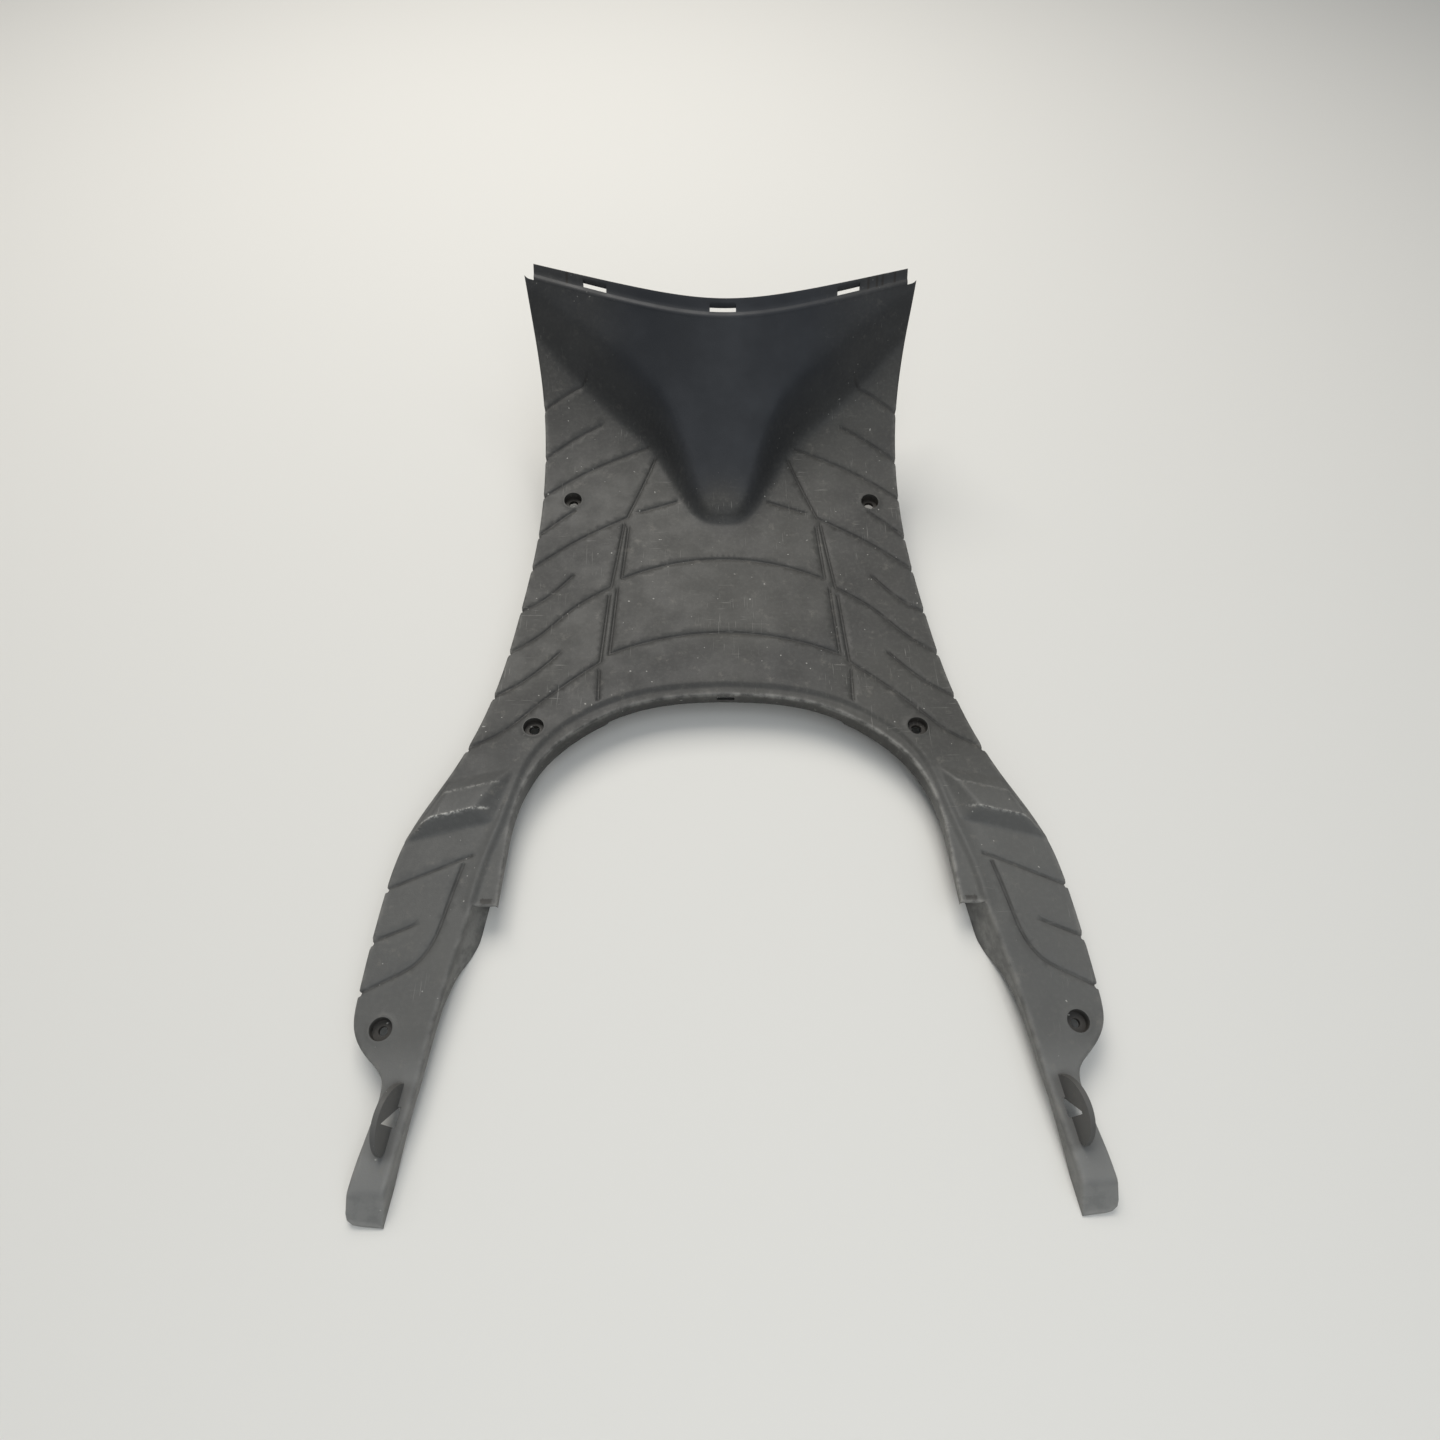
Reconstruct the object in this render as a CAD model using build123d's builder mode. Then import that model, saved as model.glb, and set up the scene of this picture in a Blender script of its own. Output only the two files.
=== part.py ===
"""Scooter floorboard: one injection-moulded plastic panel.

X is across the scooter, Y points forwards, Z is up. The origin is under the middle of the length,
on the surface the panel lies on. The panel is drawn as its mould is: an outer form (the show face),
an inner form one wall below it, and vertical prisms of the plan outline that trim them.
"""
from build123d import *
from math import asin, atan2, cos, degrees, exp, hypot, radians, sin, sqrt
import os

# Wall and overall heights
wall = 2.6
deck_z = 30.0
form_floor = -60.0
form_roof = 230.0
form_half_width = 260.0

# Side profile of the deck, from the arms to the front ramp
arm_end_y = -345.0
arm_slope = 3.2
arm_bend_radius = 700.0
deck_rear_y = -31.0
ramp_start_y = -20.0
ramp_radius = 1150.0
ramp_turn = 10.5
kick_radius = 245.0
kick_turn = 46.0

# Front face, its nose and its lip
lip_z = 150.0
lip_centre_y = 280.5
lip_sweep = 0.493
lip_bow = 60.0
lip_half_width = 163.8
face_slope = 1.08
face_curve = 0.0021
nose_tip_y = 155.0
nose_half_width = 40.0
nose_step = 24.6
nose_spread = 0.833
flank_slope = 4.0
flank_foot = 5.0
face_reach = 150.0
face_overrun = 60.0
face_stations = [-230, -170, -120, -80, -50, -25, 0, 25, 50, 80, 120, 170, 230]
nose_tilt = 28.8
flank_below = -65.0
flank_above = 25.0
flank_front = 330.0
flank_stations = [-190, -150, -115, -88, -70, -58, -50, -43, -37, -31, -25, -18, -9]
flank_stations = flank_stations + [0] + [-x for x in reversed(flank_stations)]
crest_radius = 12.0
flange_inset = 8.0
flange_run = 11.0
flange_taper = 2.0
flange_lap = 5.0
joggle = 2.0

# Lip slots and U rim window
slot_width = 21.0
slot_run = 3.0
slot_gap = 4.2
slot_side_x = 104.0
rim_window_width = 13.0
rim_window_height = 5.0
rim_window_drop = 5.0

# Grooves
groove_width = 2.4
groove_depth = 1.0

# Screw recesses: x, y of the right-hand one of each pair
screw_front = (124.1, 181.1)
screw_rear = (137.4, -31.1)
screw_arm = (206.7, -234.3)
deck_recess_diameter = 14.0
deck_screw_diameter = 7.5
arm_recess_diameter = 13.0
arm_screw_diameter = 5.5
recess_depth = 4.5
boss_wall = 1.6
from_bottom = (Align.CENTER, Align.CENTER, Align.MIN)

# Skirts and ribs
skirt_flat_y = 130.0
skirt_rise_radius = 250.0
skirt_rise_turn = 58.0
rim_wall_foot = [(25.0, 16.5), (-70.0, 12.5), (-165.0, 18.0)]
rim_wall_half_width = 157.5
arm_notch = [(-188.0, 0.0), (-220.0, 11.0), (-275.0, 10.0), (-315.0, 0.0)]
arm_notch_inner_x = 150.0
arm_notch_outer_x = 230.0
rib_depth = 9.0
rib_width = 2.0
rib_x = 60.0
rib_rear_y = 20.0
rib_front_y = 140.0

# Heel block, measured along and across its own axis
block_corner = (161.8, -104.7)
block_turn = -14.5
block_length = 90.0
block_rear = 8.5
block_top = 26.0
block_ramp = 42.0
block_height = 9.0
block_front_height = 6.5
block_inboard = [(143.5, -64.0), (156.7, -103.0), (162.0, -95.5)]
block_outboard = [(209.5, -113.0), (189.5, -70.0), (202.2, -116.4)]
block_wall = 3.2

# Tail fin and tail end
fin_start = (189.6, -263.5)
fin_end = (195.1, -301.9)
fin_height = 17.0
fin_thickness = 3.0
fin_window_start = 12.5
fin_window_end = 22.5
fin_window_height = 11.0
tail_hole_width = 6.5
tail_slope_y = -318.0
tail_slope = 42.0

# Plan of the right-hand half
outer_edge = [
    (153.5, 280), (149.3, 215), (150, 150), (157.8, 72), (169.8, -6.5), (189, -66), (213, -118),
    (219.8, -156), (224, -212),
]
lobe_edge = [(222.6, -235), (211.5, -250.5), (201.8, -262), (201.6, -273), (209, -311)]
tail_outer = (211.2, -329.0)
tail_inner = (191.2, -333.8)
arm_inner_edge = [(186.4, -297), (181.6, -270), (177.2, -236), (171, -199), (163.2, -160.5)]
rim_edge = [
    (148.3, -160.5), (147.2, -126), (144, -91), (132.8, -61), (108, -33.6), (66, -10.4), (0, -2),
]
ledge_edge = [
    (163.2, -160.5), (157.3, -128.6), (151, -106), (146.5, -86), (138.5, -58), (113.5, -26.5),
    (69, -2.5), (0, 6.5),
]

# Grooves of the right-hand half: side grooves end on the outer edge and run out past it
side_grooves = [
    [(116, 282), (131, 275), (151.8, 261.7)],
    [(103.4, 250.4), (125.4, 238.2), (149.3, 221)],
    [(63, 231.6), (91, 220), (126, 201), (149.2, 183.7)],
    [(122, 171), (136, 159), (150.3, 145.5)],
    [(78.4, 164.4), (122.3, 138), (154.4, 112)],
    [(119.3, 107.4), (144.5, 80.7), (157.8, 72.3)],
    [(88.8, 96), (118, 74.7), (145, 46.3), (162.7, 34)],
    [(124.3, 34.6), (150.5, 7.3), (169.7, -6)],
    [(93.7, 26.1), (117.7, 6), (143, -19.2), (159, -35.3), (182.8, -49.5)],
    [(168.1, -127.4), (195, -139.5), (218.9, -150)],
    [(172.8, -133.2), (178.6, -159.3), (185.5, -186.2), (192.6, -196.7), (205.6, -204.9), (224.2, -214.5)],
    [(198.1, -173), (210, -178.3), (222.2, -183.4)],
]
groove_overrun = 7.0
strip_grooves = [
    [(56.6, 220.8), (78.4, 164.4)],
    [(81, 157), (88.8, 96)],
    [(90, 88), (93.7, 26.1)],
    [(94, 18), (93.2, -7.6)],
    [(77.2, 153.9), (81, 103.8)],
    [(83.9, 94.5), (87.2, 33.1)],
    [(67.9, 170), (38.1, 180.4)],
]
cross_arcs = [
    [(-81, 103.8), (0, 123.6), (81, 103.8)],
    [(-87.2, 33.1), (0, 53.2), (87.2, 33.1)],
]


def lip_y(x):
    """Plan line of the lip: a hyperbola, furthest back on the centre line."""
    return lip_centre_y + lip_sweep * (hypot(x, lip_bow) - lip_bow)


def deck_height(y):
    """Height of the deck profile: sloped arms, a flat, then two rising arcs."""
    if y < deck_rear_y:
        bend = arm_bend_radius * sin(radians(arm_slope))
        run = min(deck_rear_y - y, bend)
        drop = arm_bend_radius - sqrt(arm_bend_radius**2 - run**2)
        return deck_z - drop - (deck_rear_y - y - run) * sin(radians(arm_slope)) / cos(radians(arm_slope))
    if y < ramp_start_y:
        return deck_z
    ramp_end = ramp_radius * sin(radians(ramp_turn))
    run = min(y - ramp_start_y, ramp_end)
    rise = ramp_radius - sqrt(ramp_radius**2 - run**2)
    turn = asin(min(sin(radians(ramp_turn)) + (y - ramp_start_y - run) / kick_radius, 0.98))
    return deck_z + rise + max(0.0, kick_radius * (cos(radians(ramp_turn)) - cos(turn)))


def nose_base_y(x):
    """Plan line where the nose leaves the deck: a round tip that opens into two swept flanks."""
    x = abs(x)
    return nose_tip_y + (nose_step + nose_spread * x) * (1 - exp(-((x / nose_half_width) ** 3)))


def face_form(depth):
    """Solid under the front face, lowered by depth: one curved profile carried along the lip line."""
    drop = depth * hypot(1, face_slope)
    far = face_reach / 2
    sections = []
    for x in face_stations:
        with BuildSketch(Plane.YZ.offset(x)) as section:
            with BuildLine():
                y = lip_y(x)
                foot = lip_z - face_slope * face_reach + face_curve * face_reach**2 - drop
                edge = (y, lip_z - drop)
                slope = Bezier((y - face_reach, foot), (y - far, lip_z - face_slope * far - drop), edge)
                rise = Line(edge, (y + face_overrun, lip_z + face_slope * face_overrun - drop))
                Polyline(rise @ 1, (y + face_overrun, form_floor), (y - face_reach, form_floor), slope @ 0)
            make_face()
        sections.append(section.sketch)
    with BuildPart() as face:
        loft(sections)
    return face.part


def flank_form(depth):
    """Nose plan with its steep drafted flanks, between two tilted planes under and over the deck."""
    tilt = radians(nose_tilt)
    sections = []
    for rise in (flank_below, flank_above):
        low = deck_height(nose_tip_y) + rise
        points = []
        for x in flank_stations:
            base = nose_base_y(x)
            grade = (nose_base_y(x + 1) - nose_base_y(x - 1)) / 2
            across = -grade / hypot(1, grade)
            ahead = 1 / hypot(1, grade)
            level = low + (base - nose_tip_y) * sin(tilt) / cos(tilt) - deck_height(base)
            inside = flank_foot + level / flank_slope + depth * hypot(1, 1 / flank_slope)
            inside = inside / (1 - ahead * sin(tilt) / cos(tilt) / flank_slope)
            points.append((x + across * inside, (base + ahead * inside - nose_tip_y) / cos(tilt)))
        plane = Plane((0, nose_tip_y, low), x_dir=(1, 0, 0), z_dir=(0, -sin(tilt), cos(tilt)))
        with BuildSketch(plane) as section:
            with BuildLine():
                Spline(points)
                Polyline(
                    points[-1], (points[-1][0], flank_front), (points[0][0], flank_front), points[0],
                )
            make_face()
        sections.append(section.sketch)
    with BuildPart() as flank:
        loft(sections, ruled=True)
        extrude(sections[-1], amount=form_roof, dir=(0, 0, 1))
    return flank.part


def deck_form(depth):
    """Solid under the deck profile, lowered by depth."""
    with BuildPart() as deck:
        with BuildSketch(Plane.YZ.offset(-form_half_width)):
            with BuildLine():
                arm_start = (arm_end_y, deck_height(arm_end_y) - depth)
                bend_y = deck_rear_y - arm_bend_radius * sin(radians(arm_slope))
                arm = Line(arm_start, (bend_y, deck_height(bend_y) - depth))
                bend = JernArc(arm @ 1, arm % 1, arm_bend_radius, -arm_slope)
                flat = Line(bend @ 1, (ramp_start_y, deck_z - depth))
                ramp = JernArc(flat @ 1, flat % 1, ramp_radius, ramp_turn)
                kick = JernArc(ramp @ 1, ramp % 1, kick_radius, kick_turn)
                front = (kick @ 1).X
                Polyline(kick @ 1, (front, form_floor), (arm_end_y, form_floor), arm_start)
            make_face()
        extrude(amount=2 * form_half_width)
    return deck.part


def block_form(depth):
    """Pair of heel blocks: a ramped wedge along its own axis, cut off by a leaning face at each end."""
    foot = deck_height(block_corner[1]) - depth
    along = Vector(cos(radians(block_turn)), sin(radians(block_turn)), 0)
    with BuildPart() as block:
        start = Vector(*block_corner, foot) - along * block_length / 2
        with BuildSketch(Plane(start, x_dir=along.rotate(Axis.Z, 90), z_dir=along)):
            with BuildLine():
                Polyline(
                    (0, -block_height), (0, 0), (block_rear, block_height), (block_top, block_front_height),
                    (block_ramp, 0), (block_ramp, -block_height), close=True,
                )
            make_face()
        extrude(amount=1.5 * block_length)
        for start, end, top in (block_inboard, block_outboard):
            low = Vector(*start, foot)
            outward = (Vector(*end, foot) - low).cross(Vector(*top, foot + block_height) - low)
            split(bisect_by=Plane(low, z_dir=outward), keep=Keep.BOTTOM)
        mirror(about=Plane.YZ)
    return block.part


def tail_slope_cut(depth):
    """Space over the sloping end of both tails."""
    top = deck_height(tail_slope_y) - depth
    drop = form_roof * sin(radians(tail_slope))
    with BuildPart() as cut:
        with BuildSketch(Plane.YZ.offset(-form_half_width)):
            with BuildLine():
                Polyline(
                    (tail_slope_y, top), (tail_slope_y, form_roof), (tail_slope_y - form_roof, form_roof),
                    (tail_slope_y - form_roof * cos(radians(tail_slope)), top - drop), close=True,
                )
            make_face()
        extrude(amount=2 * form_half_width)
    return cut.part


def prism(sketch):
    """Upright prism of a plan sketch, through the whole height."""
    with BuildPart() as upright:
        with BuildSketch(Plane.XY.offset(form_floor)):
            add(sketch)
        extrude(amount=form_roof - form_floor)
    return upright.part


lip_points = [(x, lip_y(x)) for x in (0, 30, 60, 105, lip_half_width)]

with BuildSketch() as plan:
    with BuildLine():
        lip = Spline(lip_points)
        side = Spline([lip @ 1] + outer_edge)
        tail_way = Vector(*tail_outer) - Vector(*lobe_edge[-1])
        lobe = Spline([side @ 1] + lobe_edge, tangents=[side % 1, tail_way])
        tail = Polyline(lobe @ 1, tail_outer, tail_inner)
        arm_inner = Spline([tail_inner] + arm_inner_edge)
        ledge_end = Line(arm_inner @ 1, rim_edge[0])
        rim = Spline(rim_edge)
        Line(rim @ 1, lip @ 0)
    make_face()
    mirror(about=Plane.YZ)

with BuildSketch() as ledge:
    with BuildLine():
        ledge_line = Spline(ledge_edge)
        rim_line = Spline(rim_edge)
        Line(ledge_line @ 0, rim_line @ 0)
        Line(ledge_line @ 1, rim_line @ 1)
    make_face()
    mirror(about=Plane.YZ)

with BuildSketch() as skirt_band:
    for edge in (side, lobe, tail, arm_inner, ledge_end, rim):
        trace(edge, line_width=2 * wall)
    with Locations(arm_inner @ 1):
        Circle(wall)
    mirror(about=Plane.YZ)

with BuildSketch() as core:
    add(plan.sketch)
    add(skirt_band.sketch, mode=Mode.SUBTRACT)

with BuildSketch() as ledge_band:
    add(ledge.sketch)
    trace(ledge_line, line_width=2 * wall)
    mirror(about=Plane.YZ)
    add(plan.sketch, mode=Mode.INTERSECT)

flange_end = lip_half_width - flange_inset


def flange_front(x):
    """Plan line of the flange's free edge, a little closer to the lip towards its ends."""
    return lip_y(x) + flange_run - flange_taper * (x / flange_end) ** 2


flange_stations = [0, 30, 60, 105, flange_end]
with BuildSketch() as flange_band:
    with BuildLine():
        rear = Spline([(x, lip_y(x) - flange_lap) for x in flange_stations])
        front = Spline([(x, flange_front(x)) for x in flange_stations])
        Line(rear @ 0, front @ 0)
        Line(rear @ 1, front @ 1)
    make_face()
    mirror(about=Plane.YZ)

slot_offset = slot_gap + slot_run / 2
slot_turn = degrees(atan2(lip_sweep * slot_side_x, hypot(slot_side_x, lip_bow)))
with BuildSketch() as slots:
    with Locations((0, lip_centre_y + slot_offset)):
        Rectangle(slot_width, slot_run)
    with Locations(Location((slot_side_x, lip_y(slot_side_x) + slot_offset, 0), (0, 0, slot_turn))):
        Rectangle(slot_width, slot_run)
    with Locations(Location((-slot_side_x, lip_y(slot_side_x) + slot_offset, 0), (0, 0, -slot_turn))):
        Rectangle(slot_width, slot_run)

with BuildSketch() as grooves:
    for points in side_grooves:
        with BuildLine():
            way = Vector(*points[-1]) - Vector(*points[-2])
            Spline(points + [Vector(*points[-1]) + way.normalized() * groove_overrun])
        trace(line_width=groove_width)
    for points in strip_grooves:
        with BuildLine():
            Line(points)
        trace(line_width=groove_width)
    for points in cross_arcs:
        with BuildLine():
            ThreePointArc(points)
        trace(line_width=groove_width)
    mirror(about=Plane.YZ)

with BuildSketch() as ribs:
    with Locations(*[(side * rib_x, (rib_rear_y + rib_front_y) / 2) for side in (-1, 1)]):
        Rectangle(rib_width, rib_front_y - rib_rear_y)
    with Locations((0, rib_rear_y), (0, rib_front_y)):
        Rectangle(2 * rib_x + rib_width, rib_width)

with BuildPart() as outer:
    add(face_form(0))
    add(flank_form(0), mode=Mode.INTERSECT)
    crest = outer.edges().filter_by(lambda edge: edge.length > 2 * form_half_width).sort_by(Axis.Z)[-1]
    fillet(crest, radius=crest_radius)
    add(deck_form(0))
    add(block_form(0))
    add(tail_slope_cut(0), mode=Mode.SUBTRACT)

with BuildPart() as inner:
    add(face_form(wall))
    add(flank_form(wall), mode=Mode.INTERSECT)
    add(deck_form(wall))
    add(block_form(block_wall))
    add(tail_slope_cut(wall), mode=Mode.SUBTRACT)

with BuildPart() as below:
    with BuildSketch(Plane.YZ.offset(-form_half_width)):
        with BuildLine():
            ground = Line((arm_end_y, 0), (skirt_flat_y, 0))
            lift = JernArc(ground @ 1, ground % 1, skirt_rise_radius, skirt_rise_turn)
            Polyline(lift @ 1, ((lift @ 1).X, form_floor), (arm_end_y, form_floor), ground @ 0)
        make_face()
    extrude(amount=2 * form_half_width)
    with BuildSketch(Plane.YZ.offset(-rim_wall_half_width)):
        with BuildLine():
            front_y = rim_wall_foot[0][0]
            rear_y = rim_wall_foot[-1][0]
            Polyline(rim_wall_foot + [(rear_y, form_floor), (front_y, form_floor)], close=True)
        make_face()
    extrude(amount=2 * rim_wall_half_width)
    with BuildSketch(Plane.YZ.offset(arm_notch_inner_x)):
        with BuildLine():
            Polyline(arm_notch, close=True)
        make_face()
    extrude(amount=arm_notch_outer_x - arm_notch_inner_x)
    mirror(about=Plane.YZ)

with BuildPart() as cavity:
    add(prism(core.sketch))
    add(inner.part, mode=Mode.INTERSECT)

with BuildPart() as ledge_space:
    add(prism(ledge.sketch))
    add(deck_form(joggle), mode=Mode.SUBTRACT)

with BuildPart() as ledge_sheet:
    add(prism(ledge_band.sketch))
    add(deck_form(joggle), mode=Mode.INTERSECT)
    add(deck_form(joggle + wall), mode=Mode.SUBTRACT)

with BuildPart() as flange:
    add(prism(flange_band.sketch))
    add(face_form(joggle), mode=Mode.INTERSECT)
    add(face_form(joggle + wall), mode=Mode.SUBTRACT)
    add(prism(slots.sketch), mode=Mode.SUBTRACT)

with BuildPart() as groove_space:
    add(prism(grooves.sketch))
    add(deck_form(groove_depth), mode=Mode.SUBTRACT)

with BuildPart() as rib_set:
    add(prism(ribs.sketch))
    add(deck_form(wall / 2), mode=Mode.INTERSECT)
    add(deck_form(wall + rib_depth), mode=Mode.SUBTRACT)

fin_run = Vector(*fin_end) - Vector(*fin_start)
fin_foot = Vector(*fin_start, deck_height((fin_start[1] + fin_end[1]) / 2) - wall / 2)
fin_plane = Plane(fin_foot, x_dir=(fin_run.X, fin_run.Y, 0), z_dir=(fin_run.Y, -fin_run.X, 0))
with BuildPart() as fins:
    with BuildSketch(fin_plane):
        with BuildLine():
            top = ThreePointArc((0, 0), (fin_run.length / 2, fin_height + wall / 2), (fin_run.length, 0))
            Line(top @ 1, top @ 0)
        make_face()
        with BuildLine():
            peak = (fin_window_end, fin_window_height + wall / 2)
            Polyline((fin_window_start, 0), (fin_window_end, 0), peak, close=True)
        make_face(mode=Mode.SUBTRACT)
    extrude(amount=-fin_thickness)
    mirror(about=Plane.YZ)

with BuildPart() as tail_holes:
    with BuildSketch(fin_plane):
        with Locations(((fin_window_start + fin_window_end) / 2, 0)):
            Rectangle(fin_window_end - fin_window_start, 3 * wall)
    extrude(amount=-tail_hole_width)
    mirror(about=Plane.YZ)

screws = [
    (screw_front, deck_recess_diameter, deck_screw_diameter),
    (screw_rear, deck_recess_diameter, deck_screw_diameter),
    (screw_arm, arm_recess_diameter, arm_screw_diameter),
]
with BuildPart() as bosses:
    for (x, y), recess, bore in screws:
        with Locations(*[(side * x, y, deck_height(y) - recess_depth - wall) for side in (-1, 1)]):
            Cylinder(recess / 2 + boss_wall, 3 * recess_depth, align=from_bottom)
    add(deck_form(wall / 2), mode=Mode.INTERSECT)

with BuildPart() as floorboard:
    add(prism(plan.sketch))
    add(outer.part, mode=Mode.INTERSECT)
    add(cavity.part, mode=Mode.SUBTRACT)
    add(below.part, mode=Mode.SUBTRACT)
    add(ledge_space.part, mode=Mode.SUBTRACT)
    add(ledge_sheet.part)
    add(flange.part)
    add(rib_set.part)
    add(groove_space.part, mode=Mode.SUBTRACT)
    add(bosses.part)
    for (x, y), recess, bore in screws:
        with Locations(*[(side * x, y, deck_height(y) + recess_depth) for side in (-1, 1)]):
            CounterBoreHole(bore / 2, recess / 2, 2 * recess_depth, 4 * recess_depth)
    add(fins.part)
    add(tail_holes.part, mode=Mode.SUBTRACT)
    with Locations((0, rim_edge[-1][1], deck_z - joggle - rim_window_drop)):
        Box(rim_window_width, 4 * wall, rim_window_height, mode=Mode.SUBTRACT)

middle_y = (flange_front(flange_end) + tail_inner[1]) / 2
panel = floorboard.part.moved(Location((0, -middle_y, 0)))
panel.label = "floorboard"
os.makedirs("parts", exist_ok=True)
export_step(panel, "parts/floorboard.step")
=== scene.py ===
"""Scooter floorboard: one weathered, grained polypropylene panel on a pale floor."""
import bmesh
import bpy
import numpy as np
from mathutils import Matrix, Vector
from mathutils.geometry import delaunay_2d_cdt


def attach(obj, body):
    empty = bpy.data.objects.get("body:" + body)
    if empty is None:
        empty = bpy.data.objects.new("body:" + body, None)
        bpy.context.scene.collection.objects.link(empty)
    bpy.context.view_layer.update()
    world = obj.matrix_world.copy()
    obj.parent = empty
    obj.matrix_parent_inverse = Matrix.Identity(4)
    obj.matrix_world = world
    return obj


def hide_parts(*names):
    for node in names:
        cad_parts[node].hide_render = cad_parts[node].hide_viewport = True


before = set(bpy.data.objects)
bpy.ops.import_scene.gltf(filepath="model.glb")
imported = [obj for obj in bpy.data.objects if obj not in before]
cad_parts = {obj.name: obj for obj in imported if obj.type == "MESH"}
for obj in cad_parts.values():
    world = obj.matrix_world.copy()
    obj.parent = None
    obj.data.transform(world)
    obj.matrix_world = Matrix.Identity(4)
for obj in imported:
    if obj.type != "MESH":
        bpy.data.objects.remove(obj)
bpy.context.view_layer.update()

# Driving sizes in millimetres. Most are the part's source's own; the lip's slots, the fins, the tail ends, the
# heel blocks' inboard ends, the reliefs and the flared wall were measured later, and the fine detail is here only
WALL = 2.6
DECK_Z = 30.0
ARM_SLOPE, ARM_BEND, DECK_REAR = np.radians(3.2), 700.0, -31.0
RAMP_START, RAMP_RADIUS, RAMP_TURN, KICK_RADIUS = -20.0, 1150.0, np.radians(10.5), 245.0
LIP_Z, LIP_CENTRE, LIP_SWEEP, LIP_BOW, LIP_HALF = 150.0, 280.5, 0.493, 60.0, 163.8
FACE_SLOPE, FACE_CURVE = 1.08, 0.0021
NOSE_TIP, NOSE_HALF, NOSE_STEP, NOSE_SPREAD = 155.0, 40.0, 24.6, 0.833
FLANK_SLOPE, FLANK_FOOT, FLANK_CREST = 4.0, 5.0, 18.0
FLANGE_INSET, FLANGE_RUN, FLANGE_TAPER, FLANGE_LAP, JOGGLE = 8.0, 11.0, 2.0, 5.0, 2.0
SLOT_WIDTH, SLOT_RUN, SLOT_GAP, SLOT_SIDE = 21.0, 4.2, 3.8, 104.0
NICK = 1.7
GROOVE_HALF, GROOVE_DEPTH, GROOVE_OVERRUN = 1.2, 1.0, 7.0
RECESS_DEPTH, COLLAR_WIDTH, COLLAR_RISE = 4.5, 1.6, 0.35
CUP_SIDES, DISC_SIDES, DISC_GAPS = 32, 44, (-0.9, -0.28, 0.0, 0.28, 0.9, 1.6, 2.5)
SCREWS = ((124.1, 181.1, 7.0, 3.75), (137.4, -31.1, 7.0, 3.75), (206.7, -234.3, 6.5, 2.75))
SKIRT_FLAT, SKIRT_RADIUS = 130.0, 250.0
# Heights of the skirts' feet as tables over y: the lobe's relief outside and inside, and the wall round the bay
RELIEF_OUTER = ((-312, -300, -268, -220, -188), (0, 11, 12, 11, 0))
RELIEF_INNER = ((-315, -275, -220, -188), (0, 10, 11, 0))
RIM_FOOT, RIM_STEP, RIM_STEP_HALF = ((-165, -70, 25), (18, 12.5, 16.5)), 2.0, 86
# Foot of the arm's inner wall: how far it is flared inboard and carried forwards under the ledge's end
FLARE_IN, FLARE_AHEAD = 5.5, 9.0
# The ledge's step is spread over a few millimetres; beside it on the arm are a low ridge and a shallow channel,
# each with its distance from the step, its reach and its rise
LEDGE_SOFT, ARM_RIPPLES = 5.0, ((2.5, 2.5, 0.8), (11.0, 5.0, -0.8))
# The clip's recess is drawn only as painted shade
CLIP_AT, CLIP_HALF = (155.5, -157.6), (3.6, 2.1)
RIB_X, RIB_REAR, RIB_FRONT, RIB_WIDTH, RIB_DEPTH = 60.0, 20.0, 140.0, 2.0, 9.0
TAIL_SLOPE_Y, TAIL_SLOPE = -318.0, np.radians(42.0)
FIN_START, FIN_END, FIN_RISE, FIN_THICK = np.array([187.4, -263.5]), np.array([192.9, -301.9]), 17.0, 3.0
FIN_WINDOW, FIN_WINDOW_RISE, FIN_LEAN, TAIL_HOLE = (12.5, 23.0), 12.5, 3.3, (-1.5, 8.0)
# Half width of the rim's window, and the shares of the wall that it lies between: from above outside, and from
# below inside
RIM_WINDOW, WINDOW_OUT, WINDOW_IN = 6.5, (0.236, 0.69), (0.36, 0.88)
# Places across the lip's flange where painted shadow lines are drawn
FLANGE_TICKS = (-127.4, 121.0, 128.5, 133.5, 144.4)
EDGE_ROLL, ARM_ROLL = 1.3, 2.4
BLOCK_CORNER, BLOCK_TURN = np.array([161.8, -104.7]), np.radians(-14.5)
BLOCK_RUN, BLOCK_RISE = (-8.5, 0.0, 8.5, 26.0, 42.0, 58.0), (-9.0, 0.0, 9.0, 6.5, 0.0, -6.5)
BLOCK_ENDS = (((143.5, -64.0), (156.7, -103.0), (167.2, -93.8)),
              ((209.5, -113.0), (189.5, -70.0), (202.2, -116.4)))
# Places on the right that take a closer mesh
BLOCK_BOX, TAIL_BOX, CLIP_BOX = ((136, -128), (212, -56)), ((186, -334), (216, -310)), ((149, -160), (163, -152))

# Plan of the right-hand half, each line as the points its smooth curve passes through
SIDE = [(153.5, 280), (149.3, 215), (150, 150), (157.8, 72), (169.8, -6.5), (189, -66), (213, -118),
        (219.8, -156), (224, -212)]
LOBE = [(222.6, -235), (211.5, -250.5), (201.8, -262), (201.6, -273), (209, -311)]
TAIL = [(209, -311), (211, -326.5), (210.2, -329.6), (207.6, -331.8), (203.5, -332.6), (191.2, -333.8)]
ARM_INNER = [(191.2, -333.8), (186.4, -297), (181.6, -270), (177.2, -236), (171, -199), (163.2, -160.5)]
LEDGE_END = [(163.2, -160.5), (148.3, -160.5)]
RIM = [(148.3, -160.5), (147.2, -126), (144, -91), (132.8, -61), (108, -33.6), (66, -10.4), (0, -2)]
LEDGE = [(163.2, -160.5), (157.3, -128.6), (151, -106), (146.5, -86), (138.5, -58), (113.5, -26.5),
         (69, -2.5), (0, 6.5)]
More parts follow.
